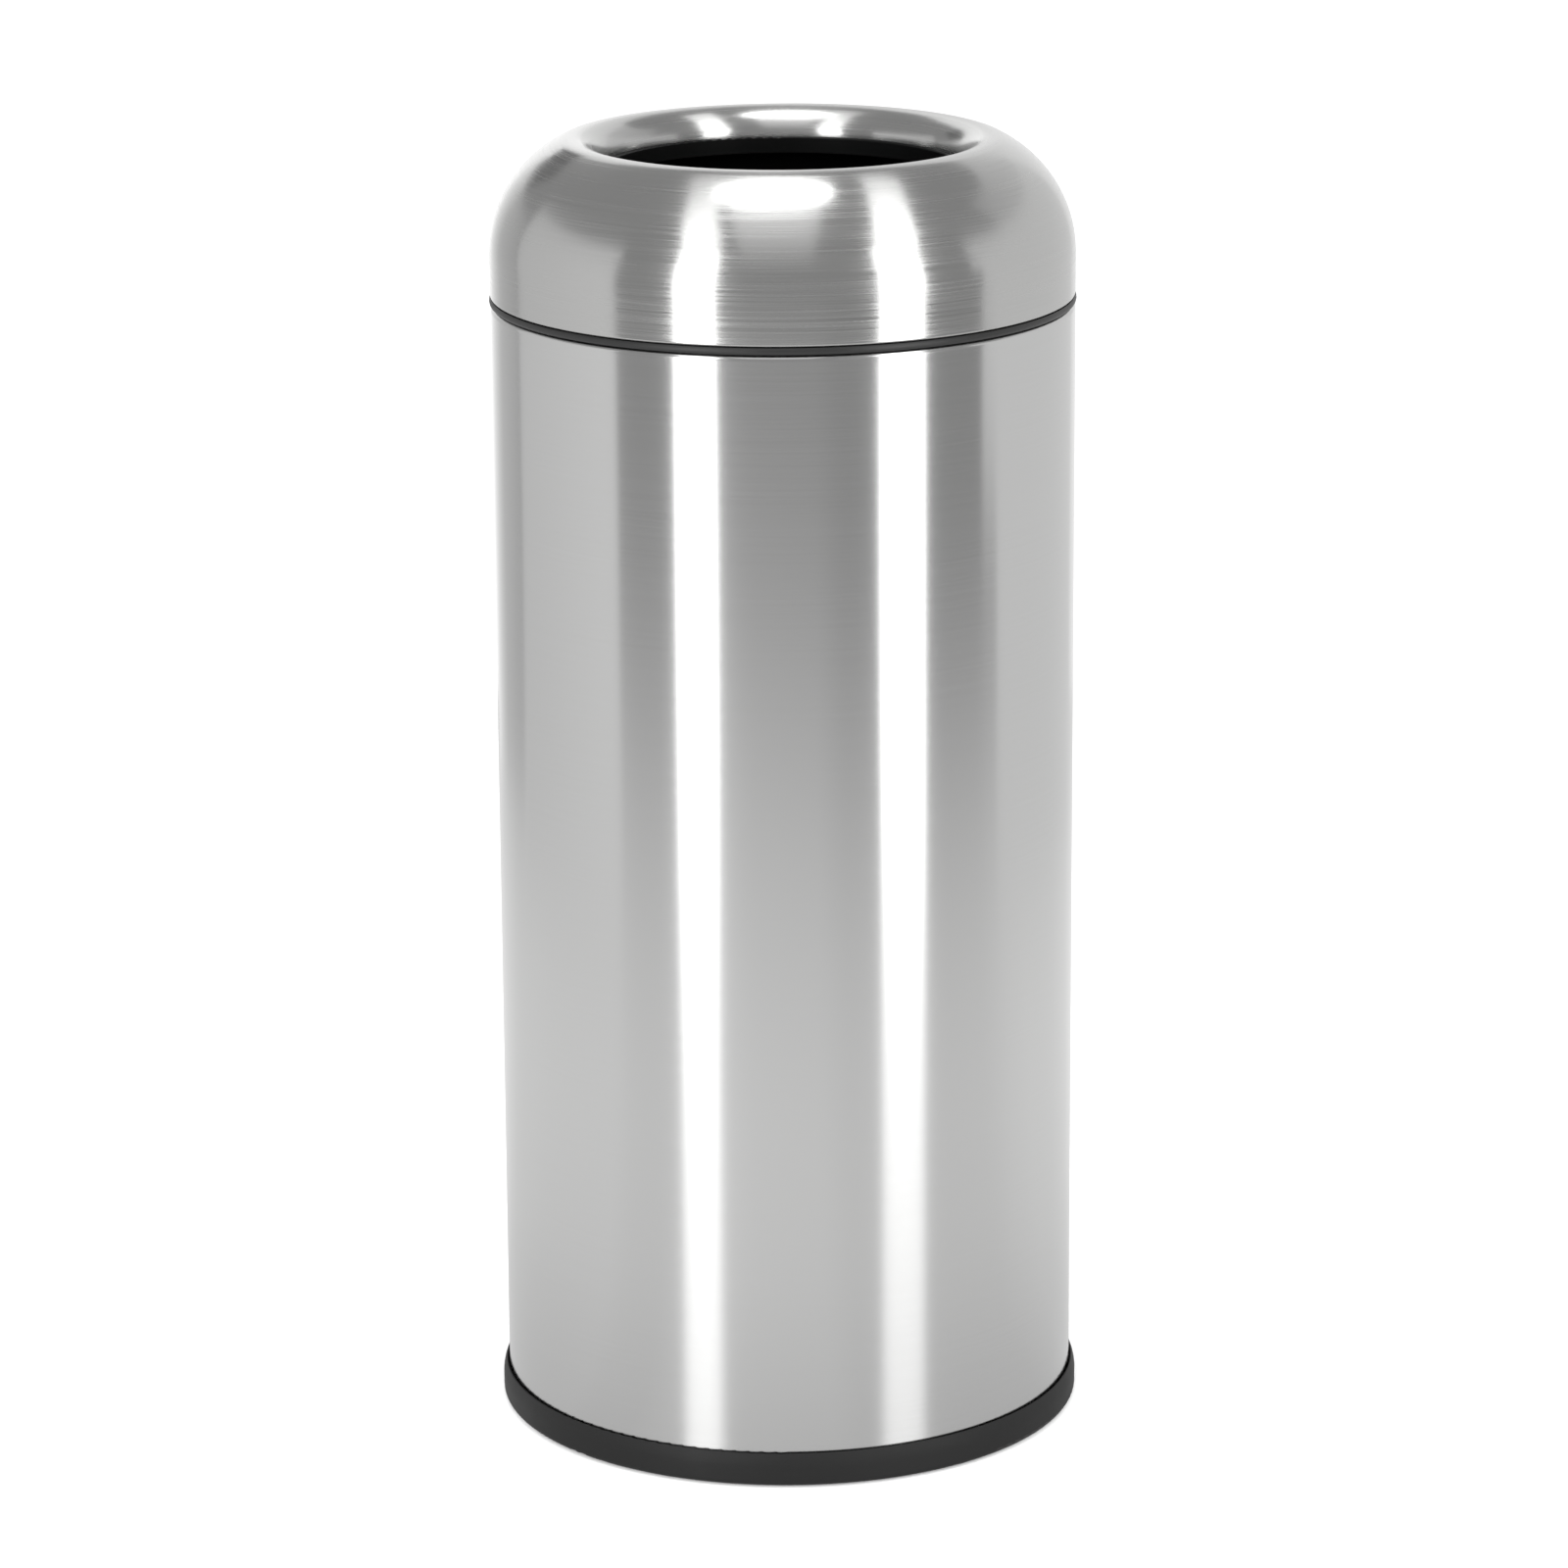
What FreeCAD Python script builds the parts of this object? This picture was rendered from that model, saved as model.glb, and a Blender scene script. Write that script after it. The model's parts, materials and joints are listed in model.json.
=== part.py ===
import FreeCAD
import Part
import math
import os

# Open-top waste bin: a rolled stainless body on a black skirt, a hanging black liner whose rim shows
# as the dark band below the lid, and a lift-off stainless dome with a round mouth.
# Millimetres. The origin is on the floor, on the bin's axis, and +Z is up. The sheet joint faces +Y.

# Driving dimensions
BODY_RADIUS = 165.0
BODY_TOP = 650.1
BIN_HEIGHT = 743.0
SHEET = 0.7
PLASTIC = 2.2
RUNNING_GAP = 0.3

# Skirt under the body
SKIRT_TOP = 20.5
SKIRT_BULGE = 3.5
SKIRT_LIP = 0.9
SKIRT_CORNER = 3.5
FOOT_STANDS_OUT = 1.0
WEB_TOP = 6.0
LEDGE_TOP = 13.0
SKIRT_INNER_RADIUS = 138.0
RIB_WIDTH = 3.0
LEDGE_INNER_RADIUS = 156.0
LEDGE_OUTER_RADIUS = 160.5
FIXING_COUNT = 6
FIXING_CIRCLE = 149.0
BOSS_RADIUS = 5.5
COUNTERBORE_RADIUS = 4.6
COUNTERBORE_TOP = 4.5
FOOT_RADIUS = 8.0
FOOT_POCKET = 2.5
FOOT_CHAMFER = 0.6

# Self-tapping screw
SCREW_RADIUS = 2.1
SCREW_TIP = 19.0
SCREW_HEAD_RADIUS = 3.9
SCREW_HEAD_HEIGHT = 2.4
SCREW_POINT = 3.0
SCREW_CLEARANCE = 0.1
DRIVE_WIDTH = 1.0
DRIVE_LENGTH = 4.4
DRIVE_DEPTH = 1.1

# Bottom plate
PLATE_SHEET = 0.8
PLATE_FLANGE_TOP = 30.0
PLATE_BEND = 3.0
SWAGE_INNER = 98.0
SWAGE_OUTER = 122.0
SWAGE_RISE = 3.0

# Body sheet
ROLL_RADIUS = 3.0
CURL_RADIUS = 2.0
CURL_INNER_RADIUS = 158.6
CURL_DEPTH = 5.4
JOINT_GAP = 0.5
STRIP_WIDTH = 14.0
STRIP_BOTTOM = 40.0
STRIP_TOP = 642.0
STRIP_GAP = 0.1

# Liner
BAND_HEIGHT = 3.8
BAND_STANDS_OUT = 0.5
BAND_CROWN = 0.8
LINER_MOUTH_RADIUS = 157.8
LINER_TAPER_TOP = 640.0
LINER_STEP_TOP = 548.0
LINER_STEP_DROP = 3.0
LINER_STEP_RADIUS = 155.6
LINER_STEP_IN = 2.6
LINER_FOOT_RADIUS = 144.0
LINER_BOTTOM = 21.0
LINER_CORNER = 10.0
SPIGOT_RADIUS = 160.2
SPIGOT_RISE = 7.0
SPIGOT_WALL = 2.4

# Handles inside the liner
HANDLE_X = 141.0
HANDLE_Z = 630.0
HANDLE_DROP = 58.0
HANDLE_LEG_Y = 39.5
HANDLE_END_Y = 55.0
HANDLE_WIRE = 2.5
HANDLE_PIVOT_BEND = 5.0
HANDLE_CORNER_BEND = 10.0
EYE_CLEARANCE = 0.08
LUG_INNER_Y = 45.0
LUG_OUTER_Y = 53.0
LUG_RADIUS = 6.0
GRIP_LENGTH = 54.0
GRIP_RADIUS = 6.5
GRIP_WAIST = 5.6
GRIP_BORE_GAP = 0.1

# Dome
SHOULDER_RADIUS = 71.0
CREST_RADIUS = 118.2
MOUTH_ROLL = 17.0
LIP_END_Z = 720.5
HEM_BEND = 1.5
HEM_INNER_RADIUS = 160.5

# Moulded inner dome
EDGE_TOP_Z = 726.8
EDGE_LEG = 1.9
EDGE_INNER_RADIUS = 98.9
EDGE_FLOOR_Z = 717.5
EDGE_FIT = 0.2
INNER_DOME_RADIUS = 163.8
INNER_DOME_SHOULDER = 680.0
INNER_DOME_TOP = 723.0

# The dome's shoulder arc and mouth roll share a tangent where they meet.
SHOULDER_MIDDLE = BODY_RADIUS - SHOULDER_RADIUS
MOUTH_RADIUS = CREST_RADIUS - MOUTH_ROLL
ROLL_Z = BIN_HEIGHT - MOUTH_ROLL
MEETING = math.acos((CREST_RADIUS - SHOULDER_MIDDLE) / (SHOULDER_RADIUS - MOUTH_ROLL))
SHOULDER_Z = ROLL_Z - (SHOULDER_RADIUS - MOUTH_ROLL) * math.sin(MEETING)

BAND_BOTTOM = BODY_TOP + RUNNING_GAP
BAND_TOP = BAND_BOTTOM + BAND_HEIGHT
HEM_Z = BAND_TOP + RUNNING_GAP
INNER_DOME_BASE = HEM_Z + SHEET + RUNNING_GAP
FULL_TURN = 360.0
TINY = 1e-6
AXIS_START = FreeCAD.Vector(0, 0, 0)
UP = FreeCAD.Vector(0, 0, 1)


def corner(radius, height):
    """A sharp point of a turned outline."""
    place = FreeCAD.Vector(radius, 0, height)
    return place, None, place


def bend(centre_radius, centre_height, size, start, end):
    """A circular arc of a turned outline, between two angles in degrees from the outward direction."""
    places = []
    for angle in (start, (start + end) / 2, end):
        turn = math.radians(angle)
        radius = centre_radius + size * math.cos(turn)
        height = centre_height + size * math.sin(turn)
        places.append(FreeCAD.Vector(radius, 0, height))
    return places[0], Part.Arc(*places).toShape(), places[2]


def crown(start, middle, end):
    """An arc of a turned outline through three (radius, height) points."""
    places = [FreeCAD.Vector(radius, 0, height) for radius, height in (start, middle, end)]
    return places[0], Part.Arc(*places).toShape(), places[2]


def quarter_ellipse(centre, width, height, rising):
    """A quarter of an ellipse between its outer side and its top."""
    middle = FreeCAD.Vector(centre[0], 0, centre[1])
    top = middle + FreeCAD.Vector(0, 0, height)
    side = middle + FreeCAD.Vector(width, 0, 0)
    long_end, short_end = (top, side) if height > width else (side, top)
    ellipse = Part.Ellipse(long_end, short_end, middle)
    edge = Part.ArcOfEllipse(ellipse, 0, math.pi / 2).toShape()
    return (side, edge, top) if rising else (top, edge, side)


def outline(pieces):
    """The closed face that the pieces bound, with straight lines between their ends."""
    edges = [edge for start, edge, end in pieces if edge is not None]
    following = pieces[1:] + pieces[:1]
    for (_, _, here), (there, _, _) in zip(pieces, following):
        if here.distanceToPoint(there) > TINY:
            edges.append(Part.LineSegment(here, there).toShape())
    return Part.Face(Part.Wire(Part.__sortEdges__(edges)))


def turned(*pieces, sweep=FULL_TURN, middle=0.0):
    """The solid that an outline makes when it turns about the bin's axis, centred on an angle."""
    solid = outline(list(pieces)).revolve(AXIS_START, UP, sweep)
    solid.rotate(AXIS_START, UP, middle - sweep / 2)
    return solid


def post(radius, bottom, top, x=0.0, y=0.0):
    """An upright cylinder."""
    return Part.makeCylinder(radius, top - bottom, FreeCAD.Vector(x, y, bottom), UP)


def block(low, high):
    """A box between two corners."""
    size = FreeCAD.Vector(*high) - FreeCAD.Vector(*low)
    return Part.makeBox(size.x, size.y, size.z, FreeCAD.Vector(*low))


def around(shape, count, first=0.0):
    """Copies of a shape, evenly spaced about the axis."""
    copies = []
    for index in range(count):
        copy = shape.copy()
        copy.rotate(AXIS_START, UP, first + index * FULL_TURN / count)
        copies.append(copy)
    return copies


def base_ring():
    """Black skirt: the body stands in its groove, the bottom plate on its two ledges."""
    outer = BODY_RADIUS + SKIRT_BULGE
    groove = BODY_RADIUS + RUNNING_GAP
    lip_inside = groove + 2 * RUNNING_GAP
    lip_outside = lip_inside + SKIRT_LIP
    lip_z = SKIRT_TOP - SKIRT_LIP / 2
    bulge_z = SKIRT_TOP / 2
    ring = turned(
        corner(SKIRT_INNER_RADIUS, FOOT_STANDS_OUT),
        bend(outer - SKIRT_CORNER, FOOT_STANDS_OUT + SKIRT_CORNER, SKIRT_CORNER, -90, 0),
        crown((outer, bulge_z), (outer - 0.25, (bulge_z + lip_z) / 2), (lip_outside, lip_z)),
        crown(
            (lip_outside, lip_z),
            ((lip_inside + lip_outside) / 2, SKIRT_TOP),
            (lip_inside, lip_z),
        ),
        corner(groove, LEDGE_TOP),
        corner(groove, WEB_TOP),
        corner(LEDGE_OUTER_RADIUS, WEB_TOP),
        corner(LEDGE_OUTER_RADIUS, LEDGE_TOP),
        corner(LEDGE_INNER_RADIUS, LEDGE_TOP),
        corner(LEDGE_INNER_RADIUS, WEB_TOP),
        corner(SKIRT_INNER_RADIUS + RIB_WIDTH, WEB_TOP),
        corner(SKIRT_INNER_RADIUS + RIB_WIDTH, LEDGE_TOP),
        corner(SKIRT_INNER_RADIUS, LEDGE_TOP),
    )
    boss = post(BOSS_RADIUS, WEB_TOP, LEDGE_TOP, FIXING_CIRCLE)
    hole = post(SCREW_RADIUS + 3 * SCREW_CLEARANCE, 0, LEDGE_TOP, FIXING_CIRCLE)
    recess = post(COUNTERBORE_RADIUS, 0, COUNTERBORE_TOP, FIXING_CIRCLE)
    pocket_top = FOOT_STANDS_OUT + FOOT_POCKET
    pocket = post(FOOT_RADIUS + RUNNING_GAP, 0, pocket_top, FIXING_CIRCLE)
    ring = ring.fuse(around(boss, FIXING_COUNT))
    ring = ring.cut(around(hole.fuse(recess), FIXING_COUNT))
    return ring.cut(around(pocket, FIXING_COUNT, foot_angle(0))).removeSplitter()


def foot_angle(index):
    """Feet stand halfway between the screws."""
    return (index + 0.5) * FULL_TURN / FIXING_COUNT


def foot_pad(index):
    """Rubber foot set in a pocket of the skirt, with a bevelled tread edge."""
    top = FOOT_STANDS_OUT + FOOT_POCKET
    pad = turned(
        corner(0, 0),
        corner(FOOT_RADIUS - FOOT_CHAMFER, 0),
        corner(FOOT_RADIUS, FOOT_CHAMFER),
        corner(FOOT_RADIUS, top),
        corner(0, top),
    )
    pad.translate(FreeCAD.Vector(FIXING_CIRCLE, 0, 0))
    pad.rotate(AXIS_START, UP, foot_angle(index))
    return pad


def base_ring_screws():
    """Screws driven up through the skirt's bosses into the bottom plate."""
    head_bottom = COUNTERBORE_TOP - SCREW_HEAD_HEIGHT
    screw = turned(
        corner(0, head_bottom),
        crown(
            (SCREW_HEAD_RADIUS / 2, head_bottom),
            (SCREW_HEAD_RADIUS * 0.85, head_bottom + SCREW_HEAD_HEIGHT * 0.3),
            (SCREW_HEAD_RADIUS, COUNTERBORE_TOP),
        ),
        corner(SCREW_RADIUS, COUNTERBORE_TOP),
        corner(SCREW_RADIUS, SCREW_TIP - SCREW_POINT),
        corner(0, SCREW_TIP),
    )
    half_long, half_wide = DRIVE_LENGTH / 2, DRIVE_WIDTH / 2
    drive_top = head_bottom + DRIVE_DEPTH
    long_slot = block((-half_long, -half_wide, 0), (half_long, half_wide, drive_top))
    cross_slot = block((-half_wide, -half_long, 0), (half_wide, half_long, drive_top))
    screw = screw.cut(long_slot.fuse(cross_slot))
    screw.translate(FreeCAD.Vector(FIXING_CIRCLE, 0, 0))
    return Part.makeCompound(around(screw, FIXING_COUNT))


def bottom_plate():
    """Galvanised floor of the body, with a turned-up flange and a stiffening swage."""
    outer = BODY_RADIUS - SHEET - RUNNING_GAP
    inner = outer - PLATE_SHEET
    bend_z = LEDGE_TOP + PLATE_BEND
    upper = LEDGE_TOP + PLATE_SHEET
    plate = turned(
        corner(0, LEDGE_TOP),
        corner(SWAGE_INNER, LEDGE_TOP),
        corner(SWAGE_INNER + SWAGE_RISE, LEDGE_TOP + SWAGE_RISE),
        corner(SWAGE_OUTER - SWAGE_RISE, LEDGE_TOP + SWAGE_RISE),
        corner(SWAGE_OUTER, LEDGE_TOP),
        bend(outer - PLATE_BEND, bend_z, PLATE_BEND, -90, 0),
        corner(outer, PLATE_FLANGE_TOP),
        corner(inner, PLATE_FLANGE_TOP),
        bend(outer - PLATE_BEND, bend_z, PLATE_BEND - PLATE_SHEET, 0, -90),
        corner(SWAGE_OUTER, upper),
        corner(SWAGE_OUTER - SWAGE_RISE, upper + SWAGE_RISE),
        corner(SWAGE_INNER + SWAGE_RISE, upper + SWAGE_RISE),
        corner(SWAGE_INNER, upper),
        corner(0, upper),
    )
    hole = post(SCREW_RADIUS + SCREW_CLEARANCE, 0, PLATE_FLANGE_TOP, FIXING_CIRCLE)
    return plate.cut(around(hole, FIXING_COUNT))


def outer_shell():
    """Rolled stainless body with an inward rolled top edge and a butt joint down the back."""
    roll_r, roll_z = BODY_RADIUS - ROLL_RADIUS, BODY_TOP - ROLL_RADIUS
    curl_r, curl_z = CURL_INNER_RADIUS + CURL_RADIUS, BODY_TOP - CURL_RADIUS
    inner = BODY_RADIUS - SHEET
    curl_end = BODY_TOP - CURL_DEPTH
    shell = turned(
        corner(BODY_RADIUS, WEB_TOP),
        bend(roll_r, roll_z, ROLL_RADIUS, 0, 90),
        bend(curl_r, curl_z, CURL_RADIUS, 90, 180),
        corner(CURL_INNER_RADIUS, curl_end),
        corner(CURL_INNER_RADIUS + SHEET, curl_end),
        bend(curl_r, curl_z, CURL_RADIUS - SHEET, 180, 90),
        bend(roll_r, roll_z, ROLL_RADIUS - SHEET, 90, 0),
        corner(inner, WEB_TOP),
    )
    half = JOINT_GAP / 2
    joint = block((-half, CURL_INNER_RADIUS - 1, 0), (half, BODY_RADIUS + 1, BODY_TOP + 1))
    return shell.cut(joint)


def shell_seam_strip():
    """Strip spot-welded inside the body, behind the butt joint."""
    outer = BODY_RADIUS - SHEET - STRIP_GAP
    return turned(
        corner(outer - SHEET, STRIP_BOTTOM),
        corner(outer, STRIP_BOTTOM),
        corner(outer, STRIP_TOP),
        corner(outer - SHEET, STRIP_TOP),
        sweep=math.degrees(STRIP_WIDTH / outer),
        middle=90,
    )


def liner_walls():
    """Turned shape of the liner: floor, tapered wall with a step, rim band and lid spigot."""
    foot_in = LINER_FOOT_RADIUS - PLASTIC
    foot_z = LINER_BOTTOM + LINER_CORNER
    floor_z = LINER_BOTTOM + PLASTIC
    step_bottom = LINER_STEP_TOP - LINER_STEP_DROP
    under_step = LINER_STEP_RADIUS - LINER_STEP_IN
    mouth_in = LINER_MOUTH_RADIUS - PLASTIC
    spigot_in = SPIGOT_RADIUS - SPIGOT_WALL
    spigot_top = BAND_TOP + SPIGOT_RISE
    band_edge = BODY_RADIUS + BAND_STANDS_OUT - BAND_CROWN
    return turned(
        corner(0, LINER_BOTTOM),
        bend(LINER_FOOT_RADIUS - LINER_CORNER, foot_z, LINER_CORNER, -90, 0),
        corner(under_step, step_bottom),
        corner(LINER_STEP_RADIUS, LINER_STEP_TOP),
        corner(LINER_MOUTH_RADIUS, LINER_TAPER_TOP),
        corner(LINER_MOUTH_RADIUS, BAND_BOTTOM),
        crown(
            (band_edge, BAND_BOTTOM),
            (band_edge + BAND_CROWN, (BAND_BOTTOM + BAND_TOP) / 2),
            (band_edge, BAND_TOP),
        ),
        corner(SPIGOT_RADIUS, BAND_TOP),
        bend(SPIGOT_RADIUS - SPIGOT_WALL / 2, spigot_top - SPIGOT_WALL / 2, SPIGOT_WALL / 2, 0, 180),
        corner(spigot_in, BAND_TOP),
        corner(mouth_in, BAND_TOP - PLASTIC),
        corner(mouth_in, LINER_TAPER_TOP),
        corner(LINER_STEP_RADIUS - PLASTIC, LINER_STEP_TOP + PLASTIC / 2),
        corner(under_step - PLASTIC, step_bottom + PLASTIC / 2),
        bend(LINER_FOOT_RADIUS - LINER_CORNER, foot_z, LINER_CORNER - PLASTIC, 0, -90),
        corner(0, floor_z),
    )


def handle_lug(side, end):
    """Moulded eye on the liner's inside wall; side is the sign of X and end the sign of Y."""
    near, far = sorted((end * LUG_INNER_Y, end * LUG_OUTER_Y))
    start = FreeCAD.Vector(side * HANDLE_X, near, HANDLE_Z)
    eye = Part.makeCylinder(LUG_RADIUS, far - near, start, FreeCAD.Vector(0, 1, 0))
    left, right = sorted((side * HANDLE_X, side * LINER_MOUTH_RADIUS))
    arm = block((left, near, HANDLE_Z - LUG_RADIUS), (right, far, HANDLE_Z + LUG_RADIUS))
    inside_wall = post(LINER_MOUTH_RADIUS - PLASTIC / 2, LINER_STEP_TOP, BODY_TOP)
    return eye.fuse(arm).common(inside_wall)


def handle_bore(side, end):
    """Hole of a lug, with running clearance on the handle's wire."""
    near, far = sorted((end * (LUG_INNER_Y - 1), end * (LUG_OUTER_Y + 1)))
    start = FreeCAD.Vector(side * HANDLE_X, near, HANDLE_Z)
    radius = HANDLE_WIRE + EYE_CLEARANCE
    return Part.makeCylinder(radius, far - near, start, FreeCAD.Vector(0, 1, 0))


def liner_bucket():
    """Black moulded liner that hangs by its rim on the body's rolled edge."""
    places = [(side, end) for side in (-1, 1) for end in (-1, 1)]
    liner = liner_walls().fuse([handle_lug(*place) for place in places])
    return liner.cut([handle_bore(*place) for place in places]).removeSplitter()


def handle_path():
    """Centre line of a handle in the YZ plane: pin, leg, bar, leg, pin, with rounded bends."""
    bar_z = HANDLE_Z - HANDLE_DROP
    pivot, turn = HANDLE_PIVOT_BEND, HANDLE_CORNER_BEND
    slant = math.sqrt(0.5)

    def spot(y, z):
        return FreeCAD.Vector(0, y, z)

    edges = []
    for end in (1, -1):
        knee_y = HANDLE_LEG_Y + pivot
        elbow_y = HANDLE_LEG_Y - turn
        pin_start, pin_end = spot(end * HANDLE_END_Y, HANDLE_Z), spot(end * knee_y, HANDLE_Z)
        knee = spot(end * (knee_y - pivot * slant), HANDLE_Z - pivot + pivot * slant)
        leg_top, leg_low = spot(end * HANDLE_LEG_Y, HANDLE_Z - pivot), spot(end * HANDLE_LEG_Y, bar_z + turn)
        elbow = spot(end * (elbow_y + turn * slant), bar_z + turn - turn * slant)
        bar_end = spot(end * elbow_y, bar_z)
        half = [
            Part.LineSegment(pin_start, pin_end).toShape(),
            Part.Arc(pin_end, knee, leg_top).toShape(),
            Part.LineSegment(leg_top, leg_low).toShape(),
            Part.Arc(leg_low, elbow, bar_end).toShape(),
        ]
        edges += half
    across = HANDLE_LEG_Y - turn
    edges.append(Part.LineSegment(spot(across, bar_z), spot(-across, bar_z)).toShape())
    return Part.Wire(Part.__sortEdges__(edges))


def handle_wire(side):
    """Zinc-plated wire handle that hangs inside the liner."""
    path = handle_path()
    start = path.OrderedVertexes[0].Point
    away = FreeCAD.Vector(0, 1, 0)
    section = Part.Wire(Part.makeCircle(HANDLE_WIRE, start, away))
    wire = path.makePipeShell([section], True, False)
    expected = math.pi * HANDLE_WIRE**2 * path.Length
    print(f"handle wire volume {wire.Volume:.1f}, section times length {expected:.1f}")
    wire.translate(FreeCAD.Vector(side * HANDLE_X, 0, 0))
    return wire


def handle_grip(side):
    """Plastic sleeve on the handle's bar, waisted for the fingers."""
    half = GRIP_LENGTH / 2
    bore = HANDLE_WIRE + GRIP_BORE_GAP
    end_round = GRIP_RADIUS - GRIP_WAIST
    grip = turned(
        corner(bore, -half),
        bend(GRIP_WAIST, -half + end_round, end_round, -90, 0),
        crown((GRIP_RADIUS, -half + end_round), (GRIP_WAIST, 0), (GRIP_RADIUS, half - end_round)),
        bend(GRIP_WAIST, half - end_round, end_round, 0, 90),
        corner(bore, half),
    )
    grip.rotate(AXIS_START, FreeCAD.Vector(1, 0, 0), 90)
    grip.translate(FreeCAD.Vector(side * HANDLE_X, 0, HANDLE_Z - HANDLE_DROP))
    return grip


def dome():
    """Spun stainless lid: hem, upright wall, round shoulder, wide roll into the mouth and short lip."""
    meeting = math.degrees(MEETING)
    hem_r, hem_z = BODY_RADIUS - HEM_BEND, HEM_Z + HEM_BEND
    return turned(
        corner(HEM_INNER_RADIUS, HEM_Z),
        bend(hem_r, hem_z, HEM_BEND, -90, 0),
        bend(SHOULDER_MIDDLE, SHOULDER_Z, SHOULDER_RADIUS, 0, meeting),
        bend(CREST_RADIUS, ROLL_Z, MOUTH_ROLL, meeting, 180),
        corner(MOUTH_RADIUS, LIP_END_Z),
        corner(MOUTH_RADIUS + SHEET, LIP_END_Z),
        bend(CREST_RADIUS, ROLL_Z, MOUTH_ROLL - SHEET, 180, meeting),
        bend(SHOULDER_MIDDLE, SHOULDER_Z, SHOULDER_RADIUS - SHEET, meeting, 0),
        bend(hem_r, hem_z, HEM_BEND - SHEET, 0, -90),
        corner(HEM_INNER_RADIUS, HEM_Z + SHEET),
    )


def dome_inner():
    """Black moulding inside the dome: it edges the steel lip and is held by the dome's hem."""
    leg_out = MOUTH_RADIUS + SHEET + EDGE_FIT
    leg_outside = leg_out + EDGE_LEG
    groove_z = LIP_END_Z - 2 * EDGE_FIT
    edge_round = EDGE_LEG / 2
    centre = (leg_outside, INNER_DOME_SHOULDER)
    width, rise = INNER_DOME_RADIUS - leg_outside, INNER_DOME_TOP - INNER_DOME_SHOULDER
    return turned(
        corner(EDGE_INNER_RADIUS, EDGE_FLOOR_Z),
        bend(EDGE_INNER_RADIUS + edge_round, EDGE_TOP_Z - edge_round, edge_round, 180, 0),
        corner(EDGE_INNER_RADIUS + EDGE_LEG, groove_z),
        corner(leg_out, groove_z),
        bend(leg_out + edge_round, EDGE_TOP_Z - edge_round, edge_round, 180, 0),
        quarter_ellipse(centre, width, rise, rising=False),
        corner(INNER_DOME_RADIUS, INNER_DOME_BASE),
        corner(INNER_DOME_RADIUS - PLASTIC, INNER_DOME_BASE),
        quarter_ellipse(centre, width - PLASTIC, rise - PLASTIC, rising=True),
        corner(leg_outside, EDGE_FLOOR_Z),
    )


def sub_parts():
    """Every separate piece of the bin, by its name."""
    pieces = {
        "outer_shell": outer_shell(),
        "shell_seam_strip": shell_seam_strip(),
        "bottom_plate": bottom_plate(),
        "base_ring": base_ring(),
        "base_ring_screws": base_ring_screws(),
        "liner_bucket": liner_bucket(),
        "dome": dome(),
        "dome_inner": dome_inner(),
    }
    for index in range(FIXING_COUNT):
        pieces[f"foot_pad_{index + 1}"] = foot_pad(index)
    for name, side in (("left", -1), ("right", 1)):
        pieces[f"handle_wire_{name}"] = handle_wire(side)
        pieces[f"handle_grip_{name}"] = handle_grip(side)
    return pieces


os.makedirs("parts", exist_ok=True)
for name, shape in sub_parts().items():
    print(f"{name}: {len(shape.Solids)} solid, valid {shape.isValid()}, {shape.Volume / 1000:.1f} cm3")
    shape.exportStep(f"parts/{name}.step")
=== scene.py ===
# %% [markdown]
# # A round open-top waste bin in brushed stainless steel
#
# The bin is a tall steel cylinder under a spun steel dome with a round mouth. A black liner hangs
# inside, and its rim shows as the dark band between dome and body. The solids come from a CAD
# model in metres, with the floor at z = 0 and the side that faces the camera towards -Y.
# This lesson gives the solids their finishes, turns the two steel sheets again as smooth meshes,
# and lights them like a small photo studio.

# %% Load the solids
import json
import math

import bmesh
import bpy
from mathutils import Euler, Matrix, Vector


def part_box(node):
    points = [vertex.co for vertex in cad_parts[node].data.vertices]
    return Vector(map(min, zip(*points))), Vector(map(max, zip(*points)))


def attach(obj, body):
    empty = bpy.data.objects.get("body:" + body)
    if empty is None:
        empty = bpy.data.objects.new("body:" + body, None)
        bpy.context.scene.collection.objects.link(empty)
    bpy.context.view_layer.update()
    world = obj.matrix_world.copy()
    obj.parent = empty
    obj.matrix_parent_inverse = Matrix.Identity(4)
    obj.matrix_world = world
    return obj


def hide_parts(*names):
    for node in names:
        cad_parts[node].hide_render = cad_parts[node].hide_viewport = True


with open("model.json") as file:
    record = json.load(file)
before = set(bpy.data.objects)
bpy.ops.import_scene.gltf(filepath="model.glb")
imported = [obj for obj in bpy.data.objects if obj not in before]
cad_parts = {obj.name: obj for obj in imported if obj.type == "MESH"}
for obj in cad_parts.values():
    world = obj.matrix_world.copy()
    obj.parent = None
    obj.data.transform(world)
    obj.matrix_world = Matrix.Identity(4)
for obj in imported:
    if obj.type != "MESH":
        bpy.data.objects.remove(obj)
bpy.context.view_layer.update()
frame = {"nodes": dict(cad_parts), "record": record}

# %% [markdown]
# ## Camera
#
# The picture was taken from a little above the mouth with a long lens, so the bin's sides run
# almost parallel and its circles show as flat ellipses. The place, tilt and focal length below
# were fitted to the outline of the bin. A long lens far away keeps the band and the skirt at the
# right curvature, which a short lens close by would exaggerate.

# %% Place the camera
IMAGE_PIXELS = 1600
FOCAL_PIXELS = 6144.9
SENSOR_WIDTH = 36.0
CAMERA_PLACE = Vector((0.0, -3.3487, 1.2763))
TILT_DOWN = 0.26515
ROLL = -0.0062
PAN = -0.0003

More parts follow.
